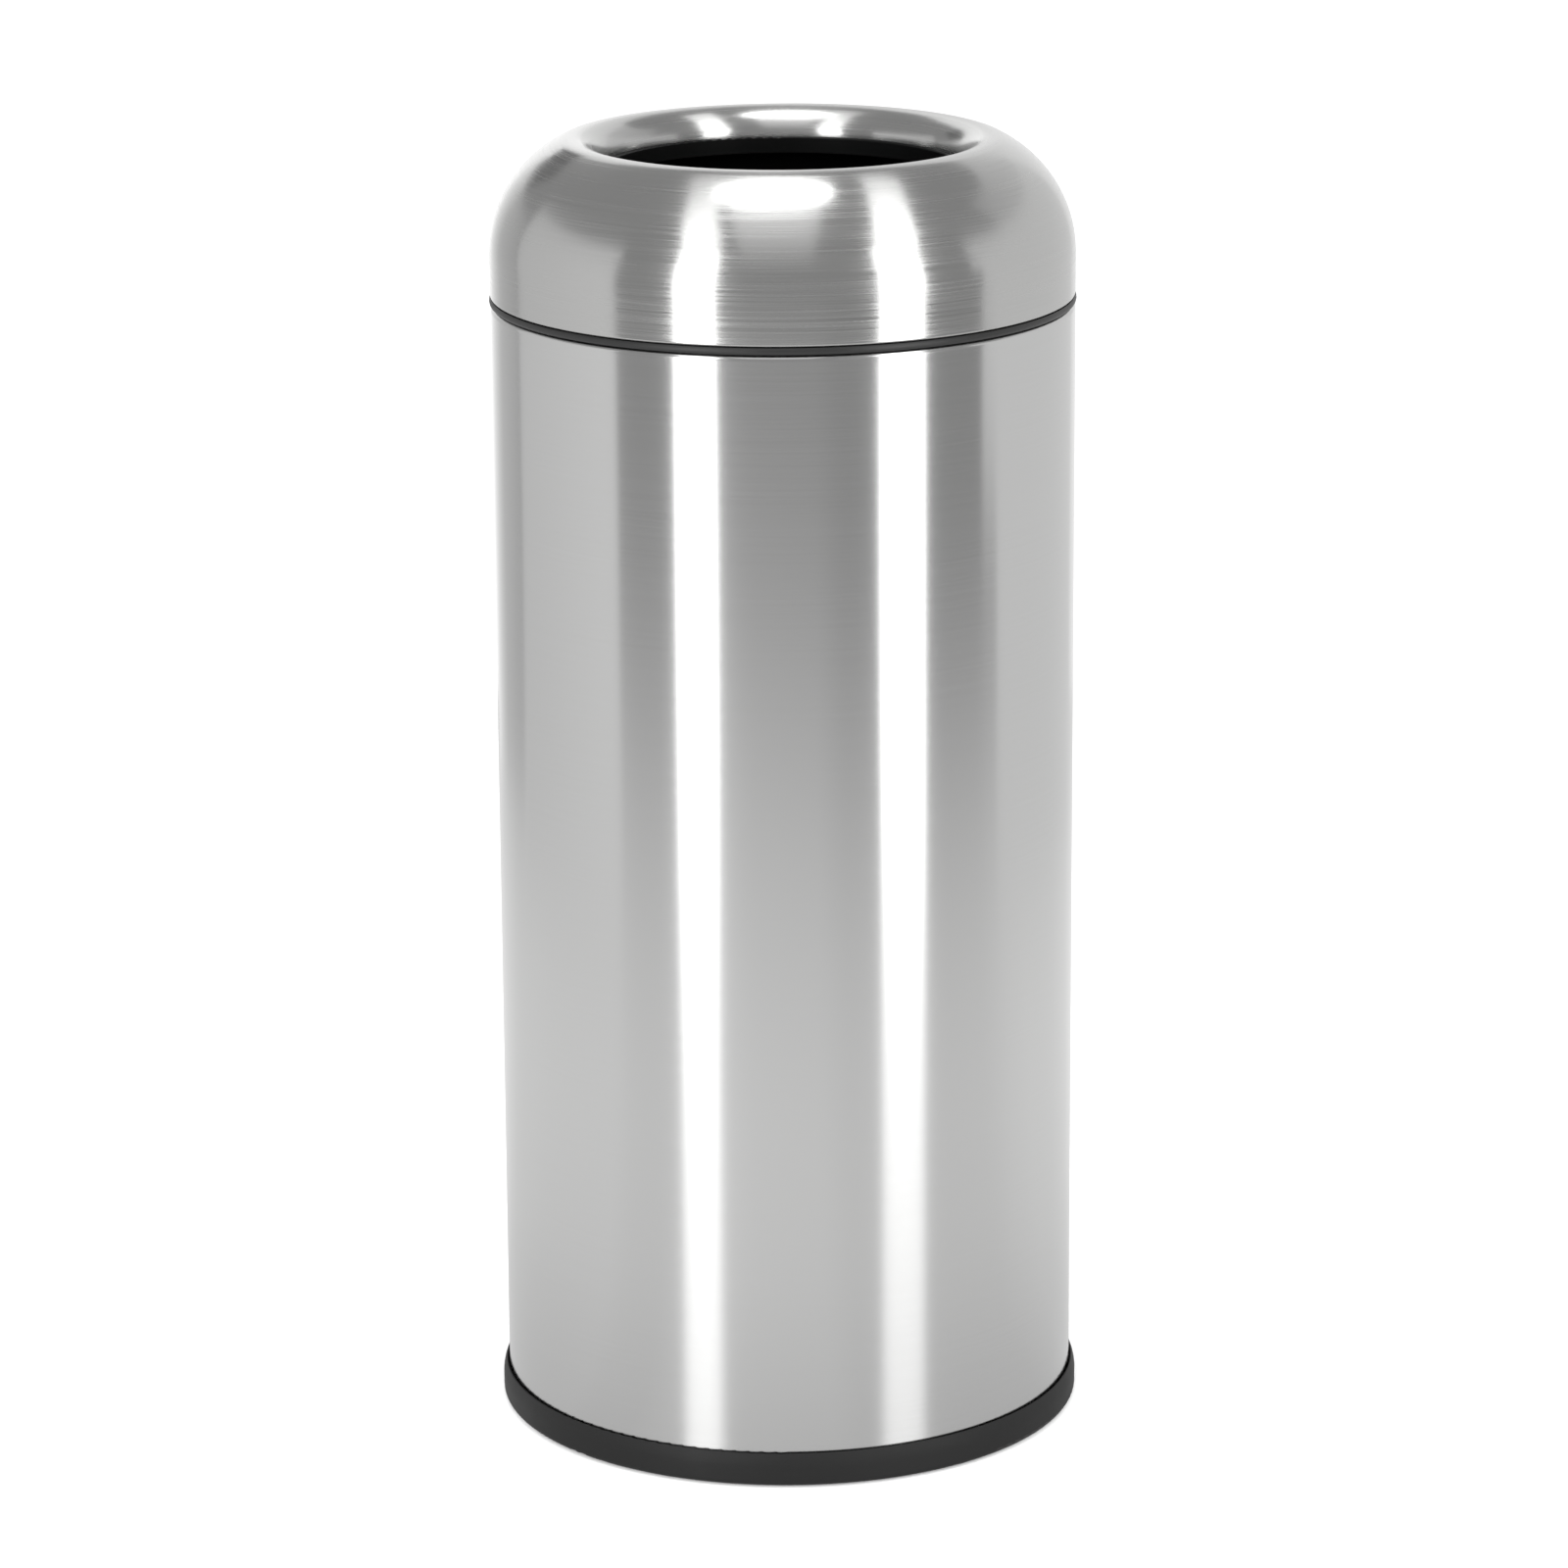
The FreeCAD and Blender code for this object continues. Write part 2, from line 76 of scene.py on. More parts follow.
camera_data = bpy.data.cameras.new("studio_camera")
camera_data.sensor_width = SENSOR_WIDTH
camera_data.lens = FOCAL_PIXELS * SENSOR_WIDTH / IMAGE_PIXELS
camera_data.clip_end = 100.0
camera = bpy.data.objects.new("studio_camera", camera_data)
upright = Euler((math.pi / 2 - TILT_DOWN, 0.0, -PAN)).to_matrix()
turned = upright @ Matrix.Rotation(ROLL, 3, "Z")
camera.matrix_world = Matrix.Translation(CAMERA_PLACE) @ turned.to_4x4()
bpy.context.scene.collection.objects.link(camera)
bpy.context.scene.camera = camera
print(f"camera: {camera_data.lens:.1f} mm lens, {CAMERA_PLACE.length:.2f} m from the origin")

# %% [markdown]
# ## Colours and nodes
#
# Colours are written as the sRGB hex values that a colour picker shows, and shaders want linear
# numbers, so one function converts them. A second small function adds a node, sets it up and
# links it, which keeps each finish readable as a list of steps. A third starts a material and sets
# the constants of its shader.

# %% Three helpers for the finishes
MM = 0.001


def linear(hex_colour):
    """Linear RGBA of an sRGB hex colour."""
    channels = [int(hex_colour[start:start + 2], 16) / 255 for start in (1, 3, 5)]
    return [c / 12.92 if c <= 0.04045 else ((c + 0.055) / 1.055) ** 2.4 for c in channels] + [1.0]


def add_node(tree, kind, inputs=None, **settings):
    """A new node; inputs maps its sockets to values or to the sockets that feed them."""
    node = tree.nodes.new(kind)
    for name, value in settings.items():
        setattr(node, name, value)
    for socket, value in (inputs or {}).items():
        if isinstance(value, bpy.types.NodeSocket):
            tree.links.new(value, node.inputs[socket])
        else:
            node.inputs[socket].default_value = value
    return node


def new_finish(name, **constants):
    """A material with its node tree and shader; constants are set on the shader's own sockets."""
    material = bpy.data.materials.new(name)
    material.use_nodes = True
    shader = material.node_tree.nodes["Principled BSDF"]
    for socket, value in constants.items():
        shader.inputs[socket.replace("_", " ")].default_value = value
    return material, material.node_tree, shader


print("mid grey #808080 is", round(linear("#808080")[0], 3), "in linear light")

# %% [markdown]
# ## Studio floor and surroundings
#
# Product pictures of steel are made in a white room in which only a few things are dark. The floor
# is a large pale disc. What steel mirrors decides how it looks, so the mirrored floor is a disc
# of its own that glows near the bin and fades to grey, and the room that steel mirrors is grey
# while the camera sees a white one.

# %% Make the floor and the room
FLOOR_RADIUS = 40.0
DISC_STEPS = 128
ROOM_MIRRORED = 0.37
ROOM_LIGHT = 1.25


def link_mesh(mesh, name, finish):
    """An object from a finished bmesh, at the origin."""
    data = bpy.data.meshes.new(name)
    mesh.to_mesh(data)
    mesh.free()
    piece = bpy.data.objects.new(name, data)
    data.materials.append(finish)
    bpy.context.scene.collection.objects.link(piece)
    return piece


def seen_by(piece, **rays):
    """Says which kinds of light rays meet a stage piece; the others pass through."""
    for kind in ("camera", "diffuse", "glossy", "transmission", "volume_scatter", "shadow"):
        setattr(piece, "visible_" + kind, rays.get(kind, False))


floor_mesh = bmesh.new()
bmesh.ops.create_circle(floor_mesh, cap_ends=True, segments=DISC_STEPS, radius=FLOOR_RADIUS)
# Matte paper gives an even white without highlights.
floor_finish, *_ = new_finish(
    "white_studio_paper", Base_Color=linear("#f4f4f4"), Roughness=0.9, Specular_IOR_Level=0.0)
floor = link_mesh(floor_mesh, "studio_floor", floor_finish)
seen_by(floor, camera=True, diffuse=True, shadow=True)

room = bpy.data.worlds.new("white_room")
bpy.context.scene.world = room
room.use_nodes = True
room_tree = room.node_tree
room_tree.nodes.clear()
rays = add_node(room_tree, "ShaderNodeLightPath").outputs
for_camera = add_node(room_tree, "ShaderNodeBackground", {"Color": (1, 1, 1, 1), "Strength": 1.0})
for_light = add_node(room_tree, "ShaderNodeBackground", {"Color": (1, 1, 1, 1), "Strength": ROOM_LIGHT})
for_steel = add_node(room_tree, "ShaderNodeBackground", {"Color": (1, 1, 1, 1), "Strength": ROOM_MIRRORED})
mirrored = add_node(room_tree, "ShaderNodeMixShader", {
    0: rays["Is Glossy Ray"], 1: for_light.outputs[0], 2: for_steel.outputs[0]})
seen = add_node(room_tree, "ShaderNodeMixShader", {
    0: rays["Is Camera Ray"], 1: mirrored.outputs[0], 2: for_camera.outputs[0]})
add_node(room_tree, "ShaderNodeOutputWorld", {"Surface": seen.outputs[0]})
bpy.context.scene.view_settings.view_transform = "Standard"
print("floor radius", FLOOR_RADIUS, "m, mirrored room", ROOM_MIRRORED)

# %% [markdown]
# ## Floor glow
#
# The camera looks down on the bin, so the upright steel mirrors the floor: its foot mirrors the
# floor close by, its top the floor two metres away. The mirrored floor is brightest a little way out
# from the bin and fades outwards, which gives the body its grey top and light foot; right at the bin
# it is darker, a painted shadow of the bin. A colour ramp over the distance from the axis holds that
# fade. A second ramp, over the angle from the camera's side, holds painted shadows of the light
# stands, which darken the floor beside each stripe, and painted light where a strip brightens the
# floor, and a third says at which distances these lie. The floor is polished like acrylic glass, so
# it also mirrors the lights, and that carries their stripes down to the skirt from whichever side the
# bin is seen.

# %% Make the mirrored floor
GLOW_RADIUS = 6.0
# The mirrored floor lies this many millimetres below the seen one.
GLOW_BELOW = 2.0
# Each step pairs a distance in metres with a brightness.
# The first steps are darker: a painted shadow of the bin on the mirrored floor close to its foot.
GLOW_STEPS = (
    (0.17, 0.635), (0.35, 0.725), (0.5, 0.80), (0.78, 0.85), (1.05, 0.835), (1.37, 0.77),
    (1.68, 0.69), (2.0, 0.53), (2.3, 0.36), (2.65, 0.27), (4.2, 0.23),
)
# Each step pairs an angle in degrees with a share of the brightness.
# Shares below one are painted shadows of the light stands; shares above one are painted light where a strip
# brightens the floor.
SHADOW_STEPS = (
    (-180, 1.0), (-145, 0.95), (-128, 0.86), (-112, 0.96), (-66, 1.0), (-58, 0.85), (-44, 0.78),
    (-34, 1.05), (-24, 1.24), (-12, 1.05), (12, 0.97), (22, 0.72), (38, 0.66), (58, 0.66),
    (78, 0.72), (92, 0.95), (104, 1.08), (130, 1.0), (180, 1.0),
)
SHADOW_REACH = ((0.7, 0.25), (1.3, 0.25), (1.55, 0.5), (1.9, 1.0), (3.3, 1.0), (4.0, 0.25))


def put_on_stage(mesh, name, finish):
    """A stage piece that only mirrors see."""
    piece = link_mesh(mesh, name, finish)
    seen_by(piece, glossy=True)


def camera_angle(tree, place):
    """The angle of a place from the camera's side of the axis, in degrees to the right."""
    split = add_node(tree, "ShaderNodeSeparateXYZ", {0: place}).outputs
    forward = add_node(tree, "ShaderNodeMath", {0: split["Y"], 1: -1.0}, operation="MULTIPLY")
    turn = add_node(tree, "ShaderNodeMath", {0: split["X"], 1: forward.outputs[0]}, operation="ARCTAN2")
    return add_node(tree, "ShaderNodeMath", {0: turn.outputs[0]}, operation="DEGREES").outputs[0]


def grey_ramp(tree, value, steps):
    """A ramp of greys; steps pair a value with the grey that it gives."""
    low, high = steps[0][0], steps[-1][0]
    share = add_node(tree, "ShaderNodeMapRange", {0: value, 1: low, 2: high, 3: 0.0, 4: 1.0})
    ramp = add_node(tree, "ShaderNodeValToRGB", {0: share.outputs[0]})
    elements = ramp.color_ramp.elements
    for index, (mark, grey) in enumerate(steps):
        element = elements[index] if index < 2 else elements.new(1.0)
        element.position = (mark - low) / (high - low)
        element.color = (grey, grey, grey, 1.0)
    return ramp.outputs["Color"]


glow_mesh = bmesh.new()
bmesh.ops.create_circle(glow_mesh, cap_ends=True, segments=DISC_STEPS, radius=GLOW_RADIUS)
bmesh.ops.translate(glow_mesh, vec=(0, 0, -GLOW_BELOW * MM), verts=glow_mesh.verts[:])
# Polished acrylic glows by its ramps and shows a soft mirror image of the lights on top of that.
glow_finish, glow_tree, glow_shader = new_finish(
    "polished_floor", Base_Color=(0, 0, 0, 1), Roughness=0.22, IOR=1.5, Emission_Strength=1.0)
# With its light sampling off, a glowing card costs no noise on the bin.
glow_finish.cycles.emission_sampling = "NONE"
glow_place = add_node(glow_tree, "ShaderNodeTexCoord").outputs["Object"]
glow_distance = add_node(
    glow_tree, "ShaderNodeVectorMath", {0: glow_place}, operation="LENGTH").outputs["Value"]
shadowed_glow = add_node(glow_tree, "ShaderNodeMix", {
    0: grey_ramp(glow_tree, glow_distance, SHADOW_REACH),
    6: grey_ramp(glow_tree, glow_distance, GLOW_STEPS),
    7: grey_ramp(glow_tree, camera_angle(glow_tree, glow_place), SHADOW_STEPS)},
    data_type="RGBA", blend_type="MULTIPLY")
glow_tree.links.new(shadowed_glow.outputs[2], glow_shader.inputs["Emission Color"])
put_on_stage(glow_mesh, "floor_glow", glow_finish)
print("floor glow fades over", GLOW_STEPS[-1][0], "m")

# %% [markdown]
# ## Flats and scrim
#
# White flats stand on both sides of the bin and behind it. Each is an upright edge spun about the
# bin's axis; angles are counted from the camera's side, to the right. The gaps between them are
# what makes the dark bands on the steel, and one small dark flag makes the dark patch on the dome's
# left shoulder. A scrim above the camera fades upwards and gives the dome's front its soft glow.
# All of them are stage pieces that only mirrors see. Seen in the polished floor they are as dim as
# the room, so that only the lights show there.

# %% Stand up the flats
# Distance, first and last angle, bottom and top, brightness at the first and at the last angle.
FLATS = {
    "left_backdrop": (1.7, -180.0, -157.0, 0.0, 2.0, 1.2, 1.2),
    "left_corner": (1.5, -158.0, -142.0, 0.0, 1.05, 1.1, 0.70),
    "left_wing": (1.5, -142.0, -122.0, 0.0, 1.05, 0.66, 0.55),
    "left_flag": (1.2, -162.0, -139.0, 1.06, 1.32, 0.20, 0.20),
    "left_flat": (1.3, -120.0, -64.0, 0.0, 1.22, 0.74, 0.90),
    "right_flat_top": (1.3, 74.0, 79.0, 0.75, 1.22, 0.70, 0.83),
    "right_flat_edge": (1.3, 79.0, 87.0, 0.3, 1.22, 0.83, 0.83),
    "right_flat": (1.3, 87.0, 150.0, 0.0, 1.22, 0.83, 0.80),
    "right_header": (1.3, 100.0, 152.0, 1.22, 1.75, 0.55, 0.75),
    "right_backdrop": (1.7, 148.0, 180.0, 0.0, 2.0, 0.92, 1.0),
}
SCRIM_CORNERS = ((-0.38, -0.30, 2.2), (0.28, -0.30, 2.2), (0.45, -2.2, 1.8), (-0.60, -2.2, 1.8))
SCRIM_NEAR, SCRIM_FAR = 1.1, 0.45
FLAT_STEPS = 24
# A ray has depth 1 after one mirror and 2 after two.
SECOND_MIRROR = 1.5


def towards(angle, distance, height):
    """A place at an angle from the camera's side of the bin, in degrees to the right."""
    turn = math.radians(angle)
    return Vector((distance * math.sin(turn), -distance * math.cos(turn), height))


def fading(name, axis_value, start, end, first, last):
    """A glowing card; its strength runs from first to last, and is the room's in a second mirror."""
    finish = bpy.data.materials.new(name)
    finish.use_nodes = True
    finish.cycles.emission_sampling = "NONE"
    tree = finish.node_tree
    tree.nodes.clear()
    place = add_node(tree, "ShaderNodeTexCoord").outputs["Object"]
    split = add_node(tree, "ShaderNodeSeparateXYZ", {0: place}).outputs
    value = camera_angle(tree, place) if axis_value == "angle" else split[axis_value]
    strength = add_node(tree, "ShaderNodeMapRange", {0: value, 1: start, 2: end, 3: first, 4: last})
    depth = add_node(tree, "ShaderNodeLightPath").outputs["Ray Depth"]
    by_way_of_floor = add_node(tree, "ShaderNodeMath", {0: depth, 1: SECOND_MIRROR}, operation="GREATER_THAN")
    shown = add_node(tree, "ShaderNodeMix", {
        0: by_way_of_floor.outputs[0], 2: strength.outputs[0], 3: ROOM_MIRRORED})
    glow = add_node(tree, "ShaderNodeEmission", {"Strength": shown.outputs[0]})
    add_node(tree, "ShaderNodeOutputMaterial", {"Surface": glow.outputs[0]})
    return finish


for name, (distance, start, end, bottom, top, first, last) in FLATS.items():
    flat_mesh = bmesh.new()
    foot = flat_mesh.verts.new(towards(start, distance, bottom))
    head = flat_mesh.verts.new(towards(start, distance, top))
    edge = flat_mesh.edges.new((foot, head))
    bmesh.ops.spin(flat_mesh, geom=[foot, head, edge], cent=(0, 0, 0), axis=(0, 0, 1),
                   dvec=(0, 0, 0), angle=math.radians(end - start), steps=FLAT_STEPS)
    finish = fading(name + "_white", "angle", start, end, first, last)
    put_on_stage(flat_mesh, name, finish)

scrim_mesh = bmesh.new()
bmesh.ops.contextual_create(scrim_mesh, geom=[scrim_mesh.verts.new(place) for place in SCRIM_CORNERS])
scrim_finish = fading("scrim_cloth", "Y", SCRIM_CORNERS[0][1], SCRIM_CORNERS[2][1], SCRIM_NEAR, SCRIM_FAR)
put_on_stage(scrim_mesh, "front_scrim", scrim_finish)
print("flats:", ", ".join(FLATS))

# %% [markdown]
# ## Lights
#
# Two tall strip boxes make the two white stripes that run down the steel, and a round softbox above
# makes the bright patch on the dome. An area light's power is spread over its size, so the power
# is worked out from the brightness that the steel should mirror. Above each box a white hood leans
# back over the bin, so that the stripe fades out up the dome. A fill light at the camera reaches
# through the mouth and lifts the black inside; mirrors do not see it, so the steel shows no spot.

# %% Hang the strip boxes and the overhead box
STRIP_DISTANCE = 1.5
STRIP_TOP = 1.6
STRIP_BRIGHTNESS = {"left": 4.9, "right": 4.2}
# Angle of the middle and half the width, both in degrees seen from the bin's axis.
STRIPS = {"left": (-32.75, 7.2), "right": (44.7, 8.5)}
HOODS = {
    "left": ((-0.81, -1.14, 1.70), (-0.83, -0.83, 2.18), (-0.78, -0.33, 2.68), (-0.70, 0.28, 3.00),
             (-0.58, 1.24, 3.24)),
    "right": ((1.13, -0.95, 1.58), (1.11, -0.71, 2.06), (1.04, -0.23, 2.58), (0.95, 0.31, 2.92),
              (0.78, 1.20, 3.22)),
}
HOOD_NEAR, HOOD_FAR = {"left": 2.8, "right": 3.5}, {"left": 1.0, "right": 1.3}
HOOD_WIDEN = {"left": 1.25, "right": 1.5}
HOOD_TAPER = 0.88
OVERHEAD_PLACE = Vector((-0.05, 0.0, 2.2))
OVERHEAD_SIZE = (0.72, 0.66)
OVERHEAD_BRIGHTNESS = 7.0
FILL_AIM = Vector((0.0, 0.0, 0.70))
FILL_SIZE = (0.8, 0.8)
FILL_BRIGHTNESS = 50.0


def area_light(name, shape, place, facing, width, height, brightness):
    """A flat light of a given brightness; facing is the direction it shines in."""
    data = bpy.data.lights.new(name, "AREA")
    data.shape = shape
    data.size, data.size_y = width, height
    filled = math.pi / 4 if shape == "ELLIPSE" else 1.0
    data.energy = brightness * math.pi * width * height * filled
    light = bpy.data.objects.new(name, data)
    light.location = place
    light.rotation_euler = facing.to_track_quat("-Z", "Y").to_euler()
    bpy.context.scene.collection.objects.link(light)
    light.visible_camera = False
    return light


for side, (angle, half_angle) in STRIPS.items():
    width = 2 * STRIP_DISTANCE * math.tan(math.radians(half_angle))
    place = towards(angle, STRIP_DISTANCE, STRIP_TOP / 2)
    inwards = Vector((-place.x, -place.y, 0))
    area_light(side + "_strip", "RECTANGLE", place, inwards, width, STRIP_TOP, STRIP_BRIGHTNESS[side])
    hood_mesh = bmesh.new()
    across = Vector((HOOD_WIDEN[side] * width / 2, 0, 0))
    first, *others = [Vector(place) for place in HOODS[side]]
    edge = hood_mesh.edges.new([hood_mesh.verts.new(first + across), hood_mesh.verts.new(first - across)])
    for last_place, place in zip([first, *others], others):
        grown = bmesh.ops.extrude_edge_only(hood_mesh, edges=[edge])["geom"]
        new_verts = [item for item in grown if isinstance(item, bmesh.types.BMVert)]
        bmesh.ops.translate(hood_mesh, vec=place - last_place, verts=new_verts)
        bmesh.ops.scale(hood_mesh, vec=(HOOD_TAPER, 1, 1), space=Matrix.Translation(-place), verts=new_verts)
        edge = hood_mesh.edges.get(new_verts)
    hood_finish = fading(side + "_hood", "Z", first.z, others[-1].z, HOOD_NEAR[side], HOOD_FAR[side])
    put_on_stage(hood_mesh, side + "_hood", hood_finish)
downwards = Vector((0, 0, -1))
area_light("overhead_box", "ELLIPSE", OVERHEAD_PLACE, downwards, *OVERHEAD_SIZE, OVERHEAD_BRIGHTNESS)
to_mouth = FILL_AIM - CAMERA_PLACE
fill = area_light("front_fill", "RECTANGLE", CAMERA_PLACE, to_mouth, *FILL_SIZE, FILL_BRIGHTNESS)
fill.visible_glossy = False
print("strips:", ", ".join(STRIPS))

# %% [markdown]
# ## Brushed stainless steel
#
# Both sheets are stainless steel with a satin finish. An abrasive belt leaves fine scratches that run
# round the bin, so a reflection stays fairly sharp across and smears up and down. The shader does
# that with anisotropy along a tangent that runs round the Z axis, turned a quarter. The hairlines
# are a noise that is stretched round the bin: its third and fourth coordinates are the height and
# the distance from the axis, so the lines follow the dome's curve as well as the wall.

# %% Mix the brushed steel
HAIRLINE_LENGTH = 110.0
# Real hairlines are about 0.1 mm wide; they are drawn wider here to show at all.
HAIRLINE_WIDTH = 0.7
# Most values of a noise lie between these two.
NOISE_LOW, NOISE_HIGH = 0.3, 0.7


def brushed_stainless(name, dark, light, smooth, rough, smear):
    """Stainless steel, belt-brushed round the Z axis; colours and roughness vary by hairline."""
    steel, tree, shader = new_finish(name, Metallic=1.0, Anisotropic=smear, Anisotropic_Rotation=0.25)
    place = add_node(tree, "ShaderNodeTexCoord").outputs["Object"]
    stretch = (1 / (HAIRLINE_LENGTH * MM), 1 / (HAIRLINE_LENGTH * MM), 1 / (HAIRLINE_WIDTH * MM))
    drawn = add_node(tree, "ShaderNodeVectorMath", {0: place, 1: stretch}, operation="MULTIPLY")
    flat = add_node(tree, "ShaderNodeVectorMath", {0: place, 1: (1, 1, 0)}, operation="MULTIPLY")
    out = add_node(tree, "ShaderNodeVectorMath", {0: flat.outputs[0]}, operation="LENGTH")
    rings = add_node(tree, "ShaderNodeMath", {0: out.outputs["Value"], 1: HAIRLINE_WIDTH * MM},
                     operation="DIVIDE")
    lines = add_node(tree, "ShaderNodeTexNoise", {
        "Vector": drawn.outputs[0], "W": rings.outputs[0], "Scale": 1.0, "Detail": 2.0},
        noise_dimensions="4D")
    shade = add_node(tree, "ShaderNodeMix", {
        0: lines.outputs[0], 6: linear(dark), 7: linear(light)}, data_type="RGBA")
    spread = add_node(tree, "ShaderNodeMapRange", {
        0: lines.outputs[0], 1: NOISE_LOW, 2: NOISE_HIGH, 3: smooth, 4: rough})
    round_axis = add_node(tree, "ShaderNodeTangent", direction_type="RADIAL", axis="Z")
    tree.links.new(shade.outputs[2], shader.inputs["Base Color"])
    tree.links.new(spread.outputs[0], shader.inputs["Roughness"])
    tree.links.new(round_axis.outputs[0], shader.inputs["Tangent"])
    return steel


# The body is ground finely, so its mirror images keep clear edges.
body_steel = brushed_stainless("brushed_stainless_sheet", "#cacac9", "#cdcdcd", 0.17, 0.19, 0.75)
# The dome is brushed after spinning: duller and clearer hairlines lie side by side, and highlights
# end in fine combs.
dome_steel = brushed_stainless("brushed_stainless_spinning", "#bdbdbc", "#c6c6c5", 0.155, 0.285, 0.83)
print("hairlines", HAIRLINE_WIDTH, "mm wide and about", HAIRLINE_LENGTH, "mm long")

# %% [markdown]
# ## Drawing a turned outline
#
# A sheet piece is the path of its outer face, turned about the axis and given the thickness of the
# sheet. The path is drawn like pen strokes in the YZ plane: a line is one extruded vertex, and an
# arc is a spin of that vertex. Spinning starts at +Y, so the mesh closes at the back of the bin.

# %% Pen strokes and the lathe
FULL_TURN = 2 * math.pi
ROUND_STEPS = 240
SHARP_ANGLE = math.radians(40)


def pen_at(radius, height):
    """A new outline that starts at a radius and height in millimetres."""
    mesh = bmesh.new()
    return mesh, mesh.verts.new((0, radius * MM, height * MM))


def line_to(mesh, tip, radius, height):
    """A straight stroke."""
    tip = bmesh.ops.extrude_vert_indiv(mesh, verts=[tip])["verts"][0]
    tip.co = (0, radius * MM, height * MM)
    return tip


def arc_about(mesh, tip, radius, height, degrees, steps):
    """A stroke round a centre, outwards and up, then inwards."""
    swept = bmesh.ops.spin(mesh, geom=[tip], cent=(0, radius * MM, height * MM), axis=(1, 0, 0),
                           dvec=(0, 0, 0), angle=math.radians(degrees), steps=steps)
    return swept["geom_last"][0]


def lathe(mesh, sheet, slot=0.0):
    """Turns the outline about the axis, leaving a slot at the back, and gives it a thickness."""
    gap = slot * MM / max(vert.co.y for vert in mesh.verts)
    bmesh.ops.rotate(mesh, cent=(0, 0, 0), matrix=Matrix.Rotation(gap / 2, 3, "Z"), verts=mesh.verts[:])
    bmesh.ops.spin(mesh, geom=mesh.verts[:] + mesh.edges[:], cent=(0, 0, 0), axis=(0, 0, 1),
                   dvec=(0, 0, 0), angle=FULL_TURN - gap, steps=ROUND_STEPS, use_merge=gap == 0)
    bmesh.ops.recalc_face_normals(mesh, faces=mesh.faces[:])
    widest = max(mesh.faces, key=lambda face: face.calc_center_median().xy.length)
    if widest.normal.xy.dot(widest.calc_center_median().xy) < 0:
        bmesh.ops.reverse_faces(mesh, faces=mesh.faces[:])
    bmesh.ops.solidify(mesh, geom=mesh.faces[:], thickness=sheet * MM)
    mesh.normal_update()
    for face in mesh.faces:
        face.smooth = True
    for edge in mesh.edges:
        edge.smooth = edge.calc_face_angle(0.0) < SHARP_ANGLE
    return mesh


print("one full turn is", ROUND_STEPS, "steps")

# %% [markdown]
# ## Body shell
#
# The body is one sheet of 0.7 mm steel rolled to a tube, with its top edge rolled inwards so that
# the liner can hang on it. The sheet's two edges meet at the back in a narrow open joint, so the
# spin stops just short of a full turn there. A short stroke before each bend keeps the smooth
# shading of the bend out of the tall wall.

# %% Turn the body shell
SHEET = 0.7
ROLL_RADIUS = 3.0
CURL_RADIUS = 2.0
CURL_INNER = 158.6
CURL_DEPTH = 5.4
JOINT_GAP = 0.5
SHADE_STOP = 1.0
ARC_STEPS = 12

shell_low, shell_high = [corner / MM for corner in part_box("outer_shell")]
body_radius, body_top = shell_high.x, shell_high.z
shell_mesh, tip = pen_at(body_radius, shell_low.z)
tip = line_to(shell_mesh, tip, body_radius, body_top - ROLL_RADIUS - SHADE_STOP)
tip = line_to(shell_mesh, tip, body_radius, body_top - ROLL_RADIUS)
tip = arc_about(shell_mesh, tip, body_radius - ROLL_RADIUS, body_top - ROLL_RADIUS, 90, ARC_STEPS)
tip = line_to(shell_mesh, tip, CURL_INNER + CURL_RADIUS, body_top)
tip = arc_about(shell_mesh, tip, CURL_INNER + CURL_RADIUS, body_top - CURL_RADIUS, 90, ARC_STEPS)
tip = line_to(shell_mesh, tip, CURL_INNER, body_top - CURL_RADIUS - SHADE_STOP)
tip = line_to(shell_mesh, tip, CURL_INNER, body_top - CURL_DEPTH)
body_shell = link_mesh(lathe(shell_mesh, SHEET, JOINT_GAP), "body_shell", body_steel)
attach(body_shell, "bin_body")
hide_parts("outer_shell")
print("body shell:", len(body_shell.data.polygons), "faces,", round(body_radius * 2), "mm across")

# %% [markdown]
# ## Dome
#
# The lid is spun from one disc of steel over a former: an upright wall, a round shoulder, a wide
# roll into the mouth and a short lip. Its lower edge is hemmed inwards. Shoulder and roll are two
# arcs with one tangent where they meet, and the angle of that meeting follows from their radii.

# %% Turn the dome
SHOULDER_RADIUS = 71.0
CREST_RADIUS = 118.2
MOUTH_ROLL = 17.0
LIP_END = 720.5
HEM_BEND = 1.5
HEM_INNER = 160.5
DOME_STEPS = 48

dome_low, dome_high = [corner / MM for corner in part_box("dome")]
dome_radius, dome_top, hem_height = dome_high.x, dome_high.z, dome_low.z
shoulder_middle = dome_radius - SHOULDER_RADIUS
roll_height = dome_top - MOUTH_ROLL
spacing = SHOULDER_RADIUS - MOUTH_ROLL
meeting = math.acos((CREST_RADIUS - shoulder_middle) / spacing)
shoulder_height = roll_height - spacing * math.sin(meeting)
mouth_radius = CREST_RADIUS - MOUTH_ROLL
dome_mesh, tip = pen_at(HEM_INNER, hem_height)
tip = line_to(dome_mesh, tip, dome_radius - HEM_BEND - SHADE_STOP, hem_height)
tip = line_to(dome_mesh, tip, dome_radius - HEM_BEND, hem_height)
tip = arc_about(dome_mesh, tip, dome_radius - HEM_BEND, hem_height + HEM_BEND, 90, ARC_STEPS)
tip = line_to(dome_mesh, tip, dome_radius, hem_height + HEM_BEND + SHADE_STOP)
tip = line_to(dome_mesh, tip, dome_radius, shoulder_height - SHADE_STOP)
tip = line_to(dome_mesh, tip, dome_radius, shoulder_height)
tip = arc_about(dome_mesh, tip, shoulder_middle, shoulder_height, math.degrees(meeting), DOME_STEPS)
tip = arc_about(dome_mesh, tip, CREST_RADIUS, roll_height, 180 - math.degrees(meeting), DOME_STEPS)
tip = line_to(dome_mesh, tip, mouth_radius, roll_height - SHADE_STOP)
tip = line_to(dome_mesh, tip, mouth_radius, LIP_END)
